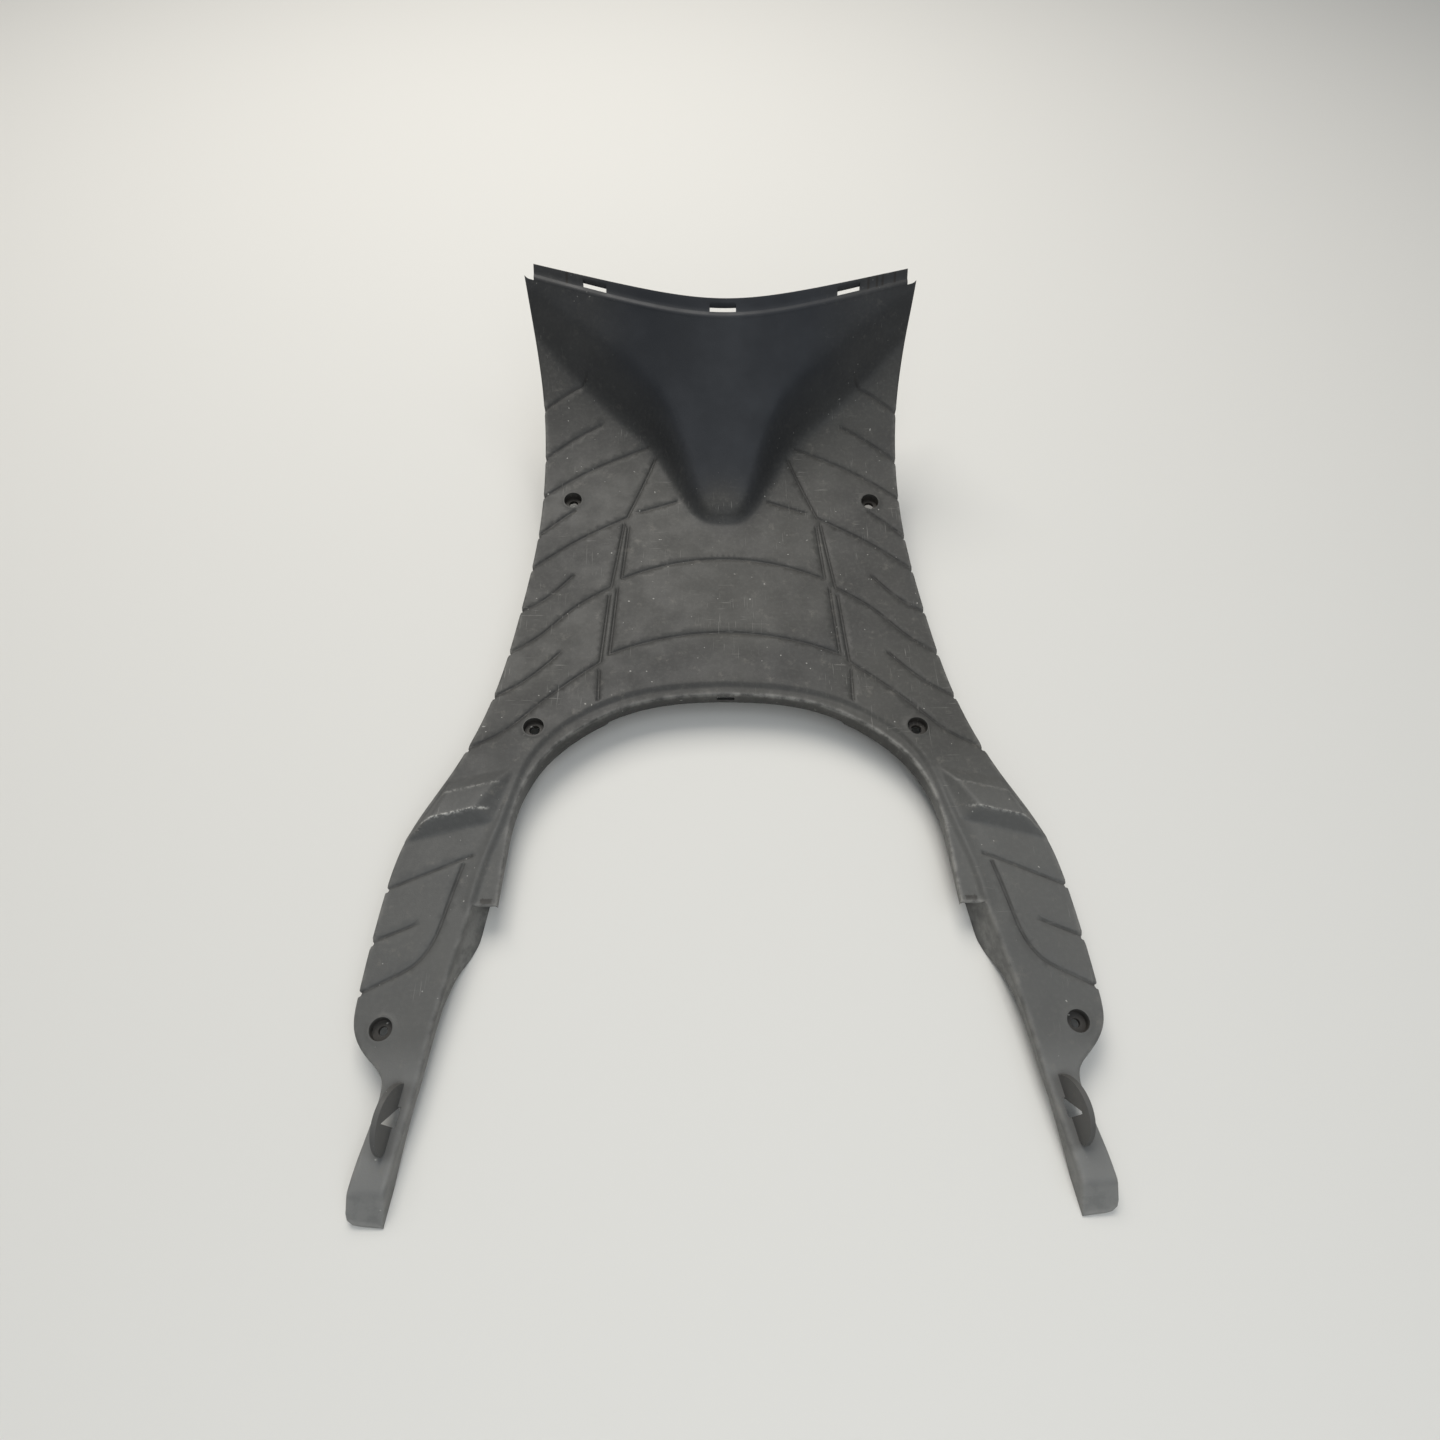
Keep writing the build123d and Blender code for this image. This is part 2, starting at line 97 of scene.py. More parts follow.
SIDE_GROOVES = [
    [(116, 282), (131, 275), (151.8, 261.7)],
    [(103.4, 250.4), (125.4, 238.2), (149.3, 221)],
    [(63, 231.6), (91, 220), (126, 201), (149.2, 183.7)],
    [(122, 171), (136, 159), (150.3, 145.5)],
    [(78.4, 164.4), (122.3, 138), (154.4, 112)],
    [(119.3, 107.4), (144.5, 80.7), (157.8, 72.3)],
    [(88.8, 96), (118, 74.7), (145, 46.3), (162.7, 34)],
    [(124.3, 34.6), (150.5, 7.3), (169.7, -6)],
    [(93.7, 26.1), (117.7, 6), (143, -19.2), (159, -35.3), (182.8, -49.5)],
    [(168.1, -127.4), (195, -139.5), (218.9, -150)],
    [(172.8, -133.2), (178.6, -159.3), (185.5, -186.2), (192.6, -196.7), (205.6, -204.9), (224.2, -214.5)],
    [(198.1, -173), (210, -178.3), (222.2, -183.4)],
]
STRIP_GROOVES = [
    [(56.6, 220.8), (78.4, 164.4)], [(81, 157), (88.8, 96)], [(90, 88), (93.7, 26.1)],
    [(94, 18), (93.2, -7.6)], [(77.2, 153.9), (81, 103.8)], [(83.9, 94.5), (87.2, 33.1)],
    [(67.9, 170), (38.1, 180.4)],
]
CROSS_ARCS = [[(-81, 103.8), (0, 123.6), (81, 103.8)], [(-87.2, 33.1), (0, 53.2), (87.2, 33.1)]]
FLIP = np.array([-1.0, 1.0])


def lip_y(x):
    """Plan line of the lip: a hyperbola, furthest back on the centre line."""
    return LIP_CENTRE + LIP_SWEEP * (np.hypot(x, LIP_BOW) - LIP_BOW)


# The panel's origin is under the middle of its length
MIDDLE_Y = (lip_y(LIP_HALF - FLANGE_INSET) + FLANGE_RUN - FLANGE_TAPER + TAIL[-1][1]) / 2


def smooth_curve(points, step=2.0, start=None, end=None):
    """Cubic spline through the points, on chord length, with a continuous second derivative. Ends are free,
    or take the given directions. Returns points a step apart."""
    p = np.asarray(points, float)
    h = np.hypot(*np.diff(p, axis=0).T)
    t = np.concatenate([[0], np.cumsum(h)])
    n = len(p)
    a = np.eye(n)
    b = np.zeros((n, 2))
    i = np.arange(1, n - 1)
    a[i, i - 1], a[i, i], a[i, i + 1] = 1 / h[:-1], 2 / h[:-1] + 2 / h[1:], 1 / h[1:]
    b[1:-1] = 3 * (p[1:-1] - p[:-2]) / h[:-1, None] ** 2 + 3 * (p[2:] - p[1:-1]) / h[1:, None] ** 2
    a[0, :2], b[0] = (2, 1), 3 * (p[1] - p[0]) / h[0]
    a[-1, -2:], b[-1] = (1, 2), 3 * (p[-1] - p[-2]) / h[-1]
    if start is not None:
        a[0, :2], b[0] = (1, 0), np.asarray(start) / np.hypot(*start)
    if end is not None:
        a[-1, -2:], b[-1] = (0, 1), np.asarray(end) / np.hypot(*end)
    m = np.linalg.solve(a, b)
    u = np.linspace(0, t[-1], max(3, int(np.ceil(t[-1] / step)) + 1))
    k = np.clip(np.searchsorted(t, u, "right") - 1, 0, n - 2)
    s = ((u - t[k]) / h[k])[:, None]
    hk = h[k][:, None]
    return (p[k] * (2 * s**3 - 3 * s**2 + 1) + m[k] * hk * (s**3 - 2 * s**2 + s)
            + p[k + 1] * (3 * s**2 - 2 * s**3) + m[k + 1] * hk * (s**3 - s**2))


def straight(points, step=2.0):
    """Straight runs through the points, at most a step apart."""
    p = np.asarray(points, float)
    runs = []
    for a, b in zip(p[:-1], p[1:]):
        runs.append(np.linspace(a, b, int(np.ceil(np.hypot(*(b - a)) / step)) + 1)[:-1])
    return np.concatenate(runs + [p[-1:]])


def near_line(points, line):
    """Distance of each point from a run of straight segments, and its side: 1 to the left of travel, or -1."""
    best = np.full(len(points), 1e9)
    side = np.ones(len(points))
    a, d = line[:-1], np.diff(line, axis=0)
    dd = np.maximum((d**2).sum(1), 1e-12)
    for part in np.array_split(np.arange(len(points)), max(1, len(points) * len(a) // 4000000 + 1)):
        q = points[part][:, None] - a[None]
        s = np.clip((q * d).sum(2) / dd, 0, 1)
        r = q - s[..., None] * d
        far = (r**2).sum(2)
        k = far.argmin(1)
        rows = np.arange(len(part))
        best[part] = np.sqrt(far[rows, k])
        cross = d[k, 0] * q[rows, k, 1] - d[k, 1] * q[rows, k, 0]
        side[part] = np.where(cross >= 0, 1.0, -1.0)
    return best, side


def inside_loop(points, loop):
    """Even-odd test of each point against a closed loop."""
    a, b = loop, np.roll(loop, -1, axis=0)
    odd = np.zeros(len(points), bool)
    for part in np.array_split(np.arange(len(points)), max(1, len(points) * len(a) // 4000000 + 1)):
        x, y = points[part, 0][:, None], points[part, 1][:, None]
        over = (a[None, :, 1] > y) != (b[None, :, 1] > y)
        dy = np.where(b[:, 1] == a[:, 1], 1e-9, b[:, 1] - a[:, 1])
        odd[part] = (over & (x < a[:, 0] + (y - a[:, 1]) * (b[:, 0] - a[:, 0]) / dy)).sum(1) % 2 == 1
    return odd


def soft_floor(t, r):
    """Zero below -r, t above r, and a parabola between."""
    return np.where(t < -r, 0.0, np.where(t > r, t, (t + r) ** 2 / (4 * r)))


def soft_min(a, b, r):
    """The lower of two heights, with a parabola of reach r where they cross."""
    return np.minimum(a, b) - np.maximum(0, r - np.abs(a - b)) ** 2 / (4 * r)


def step_curve(t):
    """Smooth step from 0 at t = 0 to 1 at t = 1."""
    t = np.clip(t, 0, 1)
    return t * t * (3 - 2 * t)


def deck_height(y):
    """Side profile of the deck: sloped arms, a bend, a flat, then two rising arcs."""
    back = np.maximum(DECK_REAR - y, 0)
    bend = ARM_BEND * np.sin(ARM_SLOPE)
    run = np.minimum(back, bend)
    drop = ARM_BEND - np.sqrt(ARM_BEND**2 - run**2) + (back - run) * np.tan(ARM_SLOPE)
    ahead = np.maximum(y - RAMP_START, 0)
    ramp = np.minimum(ahead, RAMP_RADIUS * np.sin(RAMP_TURN))
    turn = np.arcsin(np.clip(np.sin(RAMP_TURN) + (ahead - ramp) / KICK_RADIUS, -1, 0.98))
    kick = np.where(ahead > ramp, KICK_RADIUS * (np.cos(RAMP_TURN) - np.cos(turn)), 0)
    return DECK_Z - drop + RAMP_RADIUS - np.sqrt(RAMP_RADIUS**2 - ramp**2) + kick


def nose_base(x):
    """Plan line where the nose leaves the deck: a round tip that opens into two swept flanks."""
    x = np.abs(x)
    return NOSE_TIP + (NOSE_STEP + NOSE_SPREAD * x) * (1 - np.exp(-((x / NOSE_HALF) ** 3)))


BASE_X = np.linspace(-195, 195, 391)
BASE_LINE = np.stack([BASE_X, nose_base(BASE_X)], axis=1)


def face_height(x, y):
    """Front face: a parabola of the distance back from the lip line, straight on ahead of it."""
    back = lip_y(x) - y
    return LIP_Z - FACE_SLOPE * back + FACE_CURVE * back * np.maximum(back, 0)


def block_ahead(q):
    """Distance of each right-hand point ahead of the heel block's rear foot line."""
    return (q - BLOCK_CORNER) @ np.array([-np.sin(BLOCK_TURN), np.cos(BLOCK_TURN)])


def form_height(p):
    """Show face without its fine detail: the deck, the nose that is the lower of face and flank, the heel
    blocks, the ledge set down round the rear bay and the sloped tail ends."""
    x, y = p[:, 0], p[:, 1]
    deck = deck_height(y)
    inside = near_line(p, BASE_LINE)[0] * np.where(y > nose_base(x), 1, -1)
    flank = FLANK_SLOPE * soft_floor(inside - FLANK_FOOT, FLANK_FOOT)
    z = deck + np.maximum(0, soft_min(face_height(x, y) - deck, flank, FLANK_CREST))
    q = np.stack([np.abs(x), y], axis=1)
    ahead = block_ahead(q)
    block = np.interp(ahead, BLOCK_RUN, BLOCK_RISE)
    for foot_a, foot_b, top in np.array(BLOCK_ENDS):
        square = np.array([foot_a[1] - foot_b[1], foot_b[0] - foot_a[0]])
        block = soft_min(block, (q - foot_a) @ square / ((top - foot_a) @ square) * max(BLOCK_RISE), 1.4)
    block = deck_height(BLOCK_CORNER[1]) + np.where(ahead < BLOCK_RUN[-1] + 2, block, BLOCK_RISE[0])
    z = -soft_min(-z, -block, 0.7)
    far, hand = near_line(q, LEDGE_LINE)
    out = far * hand
    arm = step_curve((-70 - y) / 30) * step_curve((y + 172) / 16)
    for at, reach, rise in ARM_RIPPLES:
        z = z + arm * rise * np.exp(-(((out - at) / reach) ** 2))
    z = z - JOGGLE * step_curve(0.5 - out / LEDGE_SOFT)
    end = deck_height(TAIL_SLOPE_Y) - (TAIL_SLOPE_Y - y) * np.tan(TAIL_SLOPE)
    return soft_min(z, end, 1.5)


LEDGE_LINE = smooth_curve(LEDGE)[::-1]


def nick_params(line):
    """Extra points round each place where a side groove runs out through this line, and the depth of the
    half-round nick there: the height of a circle over its distance along the line."""
    t = np.concatenate([[0], np.cumsum(np.hypot(*np.diff(line, axis=0).T))])
    marks = np.array([g[-1] for g in SIDE_GROOVES], float)
    far = np.hypot(*(line[None] - marks[:, None]).transpose(2, 0, 1))
    centres = t[far.argmin(1)][far.min(1) < 2.5]
    fan = NICK * np.sin(np.radians(np.arange(-75, 76, 25)))
    u = np.unique(np.concatenate([t] + [c + fan for c in centres]))
    u = u[(u >= 0) & (u <= t[-1])]
    off = np.abs(u[:, None] - centres[None]).min(1) if len(centres) else np.full(len(u), 9.0)
    keep = (off > NICK + 0.3) | np.isin(u, np.concatenate([[0, t[-1]]] + [c + fan for c in centres]))
    u, off = u[keep], off[keep]
    pts = np.stack([np.interp(u, t, line[:, 0]), np.interp(u, t, line[:, 1])], axis=1)
    return pts, np.sqrt(np.maximum(NICK**2 - off**2, 0))


def outline():
    """Closed plan outline, right half then its mirror: points, outward directions, nick depth and which line
    each point is on."""
    side = smooth_curve([(LIP_HALF, lip_y(LIP_HALF))] + SIDE)
    way = np.diff(side[-2:], axis=0)[0]
    lip_x = np.linspace(0, LIP_HALF, 84)
    lines = [
        np.stack([lip_x, lip_y(lip_x)], axis=1), side,
        smooth_curve([SIDE[-1]] + LOBE, start=way, end=np.subtract(TAIL[1], TAIL[0])),
        straight(TAIL), smooth_curve(ARM_INNER), straight(LEDGE_END),
        smooth_curve(RIM[:-1] + [(RIM_WINDOW, RIM[-1][1] - 0.08)], end=(-1, 0.02)),
        np.array([(RIM_WINDOW, RIM[-1][1] - 0.08), (RIM_WINDOW / 2, RIM[-1][1]), (0, RIM[-1][1])]),
    ]
    pts, dent, name = [], [], []
    for k, line in enumerate(lines):
        p, d = nick_params(line)
        pts.append(p[:-1])
        dent.append(d[:-1])
        name.append(np.full(len(p) - 1, k))
    pts.append(lines[-1][-1:])
    dent.append([0.0])
    name.append([len(lines) - 1])
    p, d, k = np.concatenate(pts), np.concatenate(dent), np.concatenate(name)
    p = np.concatenate([p, (p * FLIP)[-2:0:-1]])
    d, k = np.concatenate([d, d[-2:0:-1]]), np.concatenate([k, k[-2:0:-1]])
    way = np.roll(p, -1, axis=0) - p
    way = way / np.hypot(*way.T)[:, None]
    mean = way + np.roll(way, 1, axis=0)
    mean = mean / np.hypot(*mean.T)[:, None]
    return p, np.stack([-mean[:, 1], mean[:, 0]], axis=1), d, k


EDGE, OUT, DENT, EDGE_NAME = outline()
ON_LIP, ON_LOBE, ON_ARM, ON_LEDGE_END = 0, 2, 4, 5
LIP_EDGE = EDGE_NAME == ON_LIP
RIM_EDGE = (EDGE_NAME >= ON_LEDGE_END) & (np.abs(EDGE[:, 0]) < LEDGE_END[0][0] - 0.3)
ROLL = np.where(np.isin(EDGE_NAME, (ON_LOBE, ON_ARM)), ARM_ROLL, EDGE_ROLL)
ROLL = np.convolve(np.concatenate([ROLL[-8:], ROLL, ROLL[:8]]), np.ones(17) / 17, "valid")
# Insets shrink towards the sharp corners of the outline, so that no inset line crosses itself there
WAY = np.roll(EDGE, -1, axis=0) - EDGE
WAY = WAY / np.hypot(*WAY.T)[:, None]
CORNERS = EDGE[(WAY * np.roll(WAY, 1, axis=0)).sum(1) < np.cos(np.radians(30))]
ROOM = 0.25 + 0.33 * np.min([np.hypot(*(EDGE - c).T) for c in CORNERS], axis=0)
ROLL, CORE = np.minimum(ROLL, ROOM), np.minimum(WALL, ROOM)
# Plan shift of the wall's foot: eased in along the arm, and spread evenly across the ledge's end
inboard, onward = step_curve((EDGE[:, 1] + 205) / 30), step_curve((EDGE[:, 1] + 178) / 17.5)
across = (np.abs(EDGE[:, 0]) - LEDGE_END[1][0]) / (LEDGE_END[0][0] - LEDGE_END[1][0])
FLARE = np.where(EDGE_NAME == ON_ARM, [inboard, onward], np.where(EDGE_NAME == ON_LEDGE_END, across, 0.0))
FLARE = np.stack([-FLARE_IN * np.sign(EDGE[:, 0]), np.full(len(EDGE), FLARE_AHEAD)], axis=1) * FLARE.T
SHOW_LOOP = EDGE - OUT * (DENT + ROLL)[:, None]
CORE_LOOP = EDGE - OUT * CORE[:, None]


def groove_runs():
    """Centre lines of all the grooves, both halves; those that leave the panel run on past its edge."""
    runs = []
    for g in SIDE_GROOVES:
        g = np.asarray(g, float)
        way = g[-1] - g[-2]
        runs.append(smooth_curve(np.concatenate([g, [g[-1] + way / np.hypot(*way) * GROOVE_OVERRUN]])))
    runs += [straight(g) for g in STRIP_GROOVES]
    runs += [r * FLIP for r in runs]
    for (_, y0), (_, y1), (x2, _) in CROSS_ARCS:
        sag = y1 - y0
        radius = (x2**2 + sag**2) / (2 * sag)
        turn = np.linspace(-1, 1, 90) * np.arcsin(x2 / radius)
        runs.append(np.stack([radius * np.sin(turn), y1 - radius + radius * np.cos(turn)], axis=1))
    return runs


GROOVES = groove_runs()


def groove_share(p):
    """How deep in a groove each point is, from 0 to 1: a flat floor with two soft shoulders."""
    far = np.min([near_line(p, run)[0] for run in GROOVES], axis=0)
    return 1 - step_curve((far - 0.55) / (GROOVE_HALF + 0.35 - 0.55))


def show_height(p):
    """Show face with its fine detail: form, grooves, screw recesses with their raised collars."""
    z = form_height(p) - GROOVE_DEPTH * groove_share(p)
    q = np.stack([np.abs(p[:, 0]), p[:, 1]], axis=1)
    for x, y, recess, bore in SCREWS:
        far = np.hypot(q[:, 0] - x, q[:, 1] - y)
        floor = deck_height(np.array(y)) - RECESS_DEPTH
        collar = COLLAR_RISE * step_curve((recess + COLLAR_WIDTH + 0.9 - far) / 1.2)
        z = np.where(far < recess + 3, z + collar, z)
        z = np.where(far < recess + 0.5, floor + (z - floor) * step_curve((far - recess + 0.25) / 0.55), z)
    return z


def ring(x, y, r, n=CUP_SIDES):
    """Closed circle of n points, clockwise seen from above."""
    turn = np.linspace(0, -2 * np.pi, n, endpoint=False)
    return np.stack([x + r * np.cos(turn), y + r * np.sin(turn)], axis=1)


FIN_WAY = (FIN_END - FIN_START) / np.hypot(*(FIN_END - FIN_START))
FIN_LONG = np.hypot(*(FIN_END - FIN_START))
FIN_OUT = np.array([-FIN_WAY[1], FIN_WAY[0]])


def tail_hole(side):
    """Hole in the tail under the fin's window, as a closed loop."""
    u = np.interp([0, 1, 2, 3, 3, 3, 2, 1, 0, 0], (0, 3), FIN_WINDOW)
    v = np.interp([0, 0, 0, 0, 0.5, 1, 1, 1, 1, 0.5], (0, 1), TAIL_HOLE)
    p = FIN_START + np.outer(u, FIN_WAY) + np.outer(v, FIN_OUT)
    return p if side > 0 else p * FLIP


HOLES = [(side * x, y, recess, bore) for side in (1, -1) for x, y, recess, bore in SCREWS]
TAIL_HOLES = [tail_hole(1), tail_hole(-1)]


def fill_points(loop, holes, features, pitch, clear):
    """Plan points for a sheet: the feature points that are not too close together, then a staggered grid."""
    x, y = np.meshgrid(np.arange(-230, 230, pitch), np.arange(-340, 345, pitch * 0.866))
    x = x + (np.arange(x.shape[0]) % 2)[:, None] * pitch / 2
    grid = np.stack([x.ravel(), y.ravel()], axis=1)
    kept = np.zeros((0, 2))
    if len(features):
        cell = np.unique(np.round(features / 0.55).astype(int), axis=0, return_index=True)[1]
        kept = features[np.sort(cell)]
        near = np.unique(np.round(kept / (pitch * 0.55)).astype(int), axis=0)
        near = {tuple(c) for c in near}
        grid = grid[[tuple(c) not in near for c in np.round(grid / (pitch * 0.55)).astype(int)]]
    p = np.concatenate([kept, grid])
    ok = inside_loop(p, loop)
    p = p[ok]
    ok = near_line(p, np.concatenate([loop, loop[:1]]))[0] > clear
    for hole in holes:
        mid = hole.mean(0)
        reach = np.hypot(*(hole - mid).T).max() + 8
        sel = np.hypot(*(p - mid).T) < reach
        if sel.any():
            bad = inside_loop(p[sel], hole) | (near_line(p[sel], np.concatenate([hole, hole[:1]]))[0] < 0.45)
            ok[np.flatnonzero(sel)[bad]] = False
    return p[ok]


def sheet(loop, holes, fill):
    """Triangles of a plan sheet with holes: constrained Delaunay. Returns its points and triangles, with the
    loop's points first, then each hole's."""
    rings = [loop] + holes
    at = np.cumsum([0] + [len(r) for r in rings])
    edges = [(a + i, a + (i + 1) % len(r)) for a, r in zip(at, rings) for i in range(len(r))]
    p = np.concatenate(rings + [fill])
    _, _, faces, orig, _, _ = delaunay_2d_cdt([tuple(v) for v in p], edges, [], 1, 1e-6)
    tri = np.array([o[0] for o in orig])[np.array(faces)]
    mid = p[tri].mean(1)
    ok = np.ones(len(tri), bool)
    for hole in holes:
        ok &= ~inside_loop(mid, hole)
    return p, tri[ok]


def strip(a, b, closed=True):
    """Quads, as triangles, between two rows of vertex numbers."""
    if closed:
        a, b = np.append(a, a[:1]), np.append(b, b[:1])
    near, far = np.stack([a[:-1], b[:-1], b[1:]], axis=1), np.stack([a[:-1], b[1:], a[1:]], axis=1)
    return np.concatenate([near, far])


def slab(top, bottom, keep):
    """Closed plate from two grids of points, top and bottom, with some cells left open: both faces, and a
    wall wherever a kept cell has an open neighbour."""
    n = top.shape[0] * top.shape[1]
    num = np.arange(n).reshape(top.shape[:2])
    i, j = np.nonzero(keep)
    a, b, c, d = num[i, j], num[i, j + 1], num[i + 1, j + 1], num[i + 1, j]
    faces = [np.stack([a, b, c], 1), np.stack([a, c, d], 1)]
    faces += [np.stack([a, c, b], 1) + n, np.stack([a, d, c], 1) + n]
    pad = np.pad(keep, 1)
    for di, dj, e0, e1 in ((-1, 0, a, b), (0, 1, b, c), (1, 0, c, d), (0, -1, d, a)):
        open_side = ~pad[i + 1 + di, j + 1 + dj]
        s, t = e0[open_side], e1[open_side]
        faces += [np.stack([s, s + n, t], 1), np.stack([t, s + n, t + n], 1)]
    return np.concatenate([top.reshape(-1, 3), bottom.reshape(-1, 3)]), np.concatenate(faces)


def offset_rows(line, gaps):
    """Copies of a plan line set off to its left by each gap."""
    way = np.gradient(line, axis=0)
    left = np.stack([-way[:, 1], way[:, 0]], axis=1) / np.hypot(*way.T)[:, None]
    return [line + left * g for g in gaps]


def box_grid(low, high, pitch):
    """Even grid of plan points over a rectangle on the right, and its mirror."""
    x, y = np.meshgrid(np.arange(low[0], high[0], pitch), np.arange(low[1], high[1], pitch))
    p = np.stack([x.ravel(), y.ravel()], axis=1)
    return [p, p * FLIP]


def under_height(p):
    """Underside of the sheet: one wall below the form, measured square to it."""
    d = 0.5
    z = form_height(p)
    gx = (form_height(p + [d, 0]) - form_height(p - [d, 0])) / (2 * d)
    gy = (form_height(p + [0, d]) - form_height(p - [0, d])) / (2 * d)
    return z - WALL * np.minimum(np.sqrt(1 + gx**2 + gy**2), 3.2)


def skirt_foot(p):
    """Height of the bottom of the outside wall, line by line: on the floor along the sides, rising in an arc
    towards the lip, relieved under each lobe, and higher round the rear bay."""
    y = p[:, 1]
    run = np.clip(y - SKIRT_FLAT, 0, SKIRT_RADIUS * 0.86)
    z = SKIRT_RADIUS - np.sqrt(SKIRT_RADIUS**2 - run**2)
    relief = np.where(EDGE_NAME == ON_ARM, np.interp(y, *RELIEF_INNER), np.interp(y, *RELIEF_OUTER))
    z = np.maximum(z, relief)
    rim = np.interp(y, *RIM_FOOT) + RIM_STEP * (np.abs(p[:, 0]) < RIM_STEP_HALF)
    return np.where(RIM_EDGE, rim, z)


class Shell:
    """Points and triangles gathered piece by piece into one mesh."""

    def __init__(self):
        self.points, self.faces, self.count = [], [], 0

    def add(self, points, faces=None):
        """Adds points, and faces numbered from the first of them; returns the points' numbers."""
        at = self.count + np.arange(len(points))
        self.points.append(np.asarray(points, float))
        self.count += len(points)
        if faces is not None:
            self.faces.append(faces + at[0])
        return at

    def join(self, a, b, skip=None):
        """Closed strip between two rows of point numbers, but for the skipped places."""
        quads = strip(a, b)
        if skip is not None:
            quads = quads[~np.concatenate([skip, skip])]
        self.faces.append(quads)


def lift(p, z):
    """Plan points with a height."""
    return np.column_stack([p, z])


def build_panel(shell):
    """The moulded panel as one closed shell: show face and underside as plan sheets lifted to their heights,
    a rolled edge and a skirt carried round the outline, and a cup under each screw recess."""
    rows = [r for run in GROOVES for r in offset_rows(run, (0, 0.55, -0.55, 1.05, -1.05, 1.6, -1.6))]
    ledge = offset_rows(LEDGE_LINE, (0, 0.8, -0.8, 1.7, -1.7, 2.7, -2.7, 4.2))
    rows += ledge + [r * FLIP for r in ledge]
    rows += offset_rows(BASE_LINE[::3], (0, 2.5, 5, 7.5, 10, 13, 17))
    along = np.array([np.cos(BLOCK_TURN), np.sin(BLOCK_TURN)])
    square = np.array([-np.sin(BLOCK_TURN), np.cos(BLOCK_TURN)])
    crests = [BLOCK_CORNER + along * np.arange(-20, 52, 0.9)[:, None] + square * d
              for d in (-0.6, 0.6, 7.3, 7.9, 8.5, 9.1, 9.7, 25.4, 26.0, 26.6, 41.4, 42.6)]
    rows += crests + [r * FLIP for r in crests]
    rows += box_grid(*BLOCK_BOX, 1.6) + box_grid(*TAIL_BOX, 2.0) + box_grid(*CLIP_BOX, 0.9)
    rows = [EDGE - OUT * (DENT + ROLL + d)[:, None] for d in (1.3, 3.0)] + rows
    bores = [ring(x, y, b) for x, y, _, b in HOLES]
    fill = fill_points(SHOW_LOOP, bores + TAIL_HOLES, np.concatenate(rows), 4.6, 0.6)
    for x, y, r, _ in HOLES:
        far = np.hypot(fill[:, 0] - x, fill[:, 1] - y)
        discs = [ring(x, y, r + k, DISC_SIDES) for k in DISC_GAPS]
        fill = np.concatenate([fill[far > r + 3.0]] + discs)
    p, tri = sheet(SHOW_LOOP, bores + TAIL_HOLES, fill)
    z = np.maximum(show_height(p), 0.8)
    top = shell.add(lift(p, z), tri)
    n = len(EDGE)

    bosses = [ring(x, y, r + COLLAR_WIDTH) for x, y, r, _ in HOLES]
    rows = ledge + [r * FLIP for r in ledge] + offset_rows(BASE_LINE[::4], (3, 6, 9, 13, 18))
    rows += box_grid(*BLOCK_BOX, 4.0) + box_grid(*TAIL_BOX, 4.0)
    fill = fill_points(CORE_LOOP, bosses + TAIL_HOLES, np.concatenate(rows), 8.0, 0.8)
    q, tri = sheet(CORE_LOOP, bosses + TAIL_HOLES, fill)
    zu = np.maximum(under_height(q), 0.35)
    under = shell.add(lift(q, zu), tri[:, ::-1])

    foot = skirt_foot(EDGE)
    foot = np.where(LIP_EDGE, zu[:n] - 0.05, np.minimum(foot, zu[:n] - 0.05))
    row = top[:n]
    for turn in np.radians([30, 60, 90]):
        inset = DENT + ROLL * (1 - np.sin(turn))
        low = np.maximum(z[:n] - ROLL * (1 - np.cos(turn)), foot + 0.3)
        new = shell.add(lift(EDGE - OUT * inset[:, None], low))
        shell.join(row, new)
        row = new
    window = RIM_EDGE & (np.abs(EDGE[:, 0]) <= RIM_WINDOW + 0.01)
    gap = window & np.roll(window, -1)
    outer, inner = [row], []
    high = np.maximum(z[:n] - ROLL, foot + 0.4)
    for share in (*WINDOW_OUT, 1.0):
        low = high + share * (foot + 0.4 - high)
        new = shell.add(lift(EDGE + FLARE * share - OUT * DENT[:, None], low))
        shell.join(row, new, gap if share == WINDOW_OUT[1] else None)
        outer.append(new)
        row = new
    for share, rise in ((0.15, 0.0), (0.85, 0.0), (1.0, 0.4)):
        inset = np.maximum(CORE * share, DENT + 0.2)[:, None]
        new = shell.add(lift(EDGE + FLARE - OUT * inset, foot + rise * (zu[:n] - foot > 1)))
        shell.join(row, new)
        row = new
    inner.append(row)
    for share in WINDOW_IN:
        new = shell.add(lift(CORE_LOOP + FLARE * (1 - share), foot + share * (zu[:n] - foot)))
        shell.join(row, new, gap if share == WINDOW_IN[1] else None)
        inner.append(new)
        row = new
    shell.join(row, under[:n])
    at = np.flatnonzero(window)
    loop_out = np.concatenate([outer[1][at], outer[2][at][::-1]])
    loop_in = np.concatenate([inner[2][at], inner[1][at][::-1]])
    shell.join(loop_out, loop_in)

    at_top, at_under = n, n
    for x, y, recess, bore in HOLES:
        low = np.full(CUP_SIDES, deck_height(np.array(y)) - RECESS_DEPTH - WALL)
        row = top[at_top:at_top + CUP_SIDES]
        for r in (bore, recess + COLLAR_WIDTH):
            new = shell.add(lift(ring(x, y, r), low))
            shell.join(row, new)
            row = new
        shell.join(row, under[at_under:at_under + CUP_SIDES])
        at_top, at_under = at_top + CUP_SIDES, at_under + CUP_SIDES
    for hole in TAIL_HOLES:
        k = len(hole)
        shell.join(top[at_top:at_top + k], under[at_under:at_under + k])
        at_top, at_under = at_top + k, at_under + k


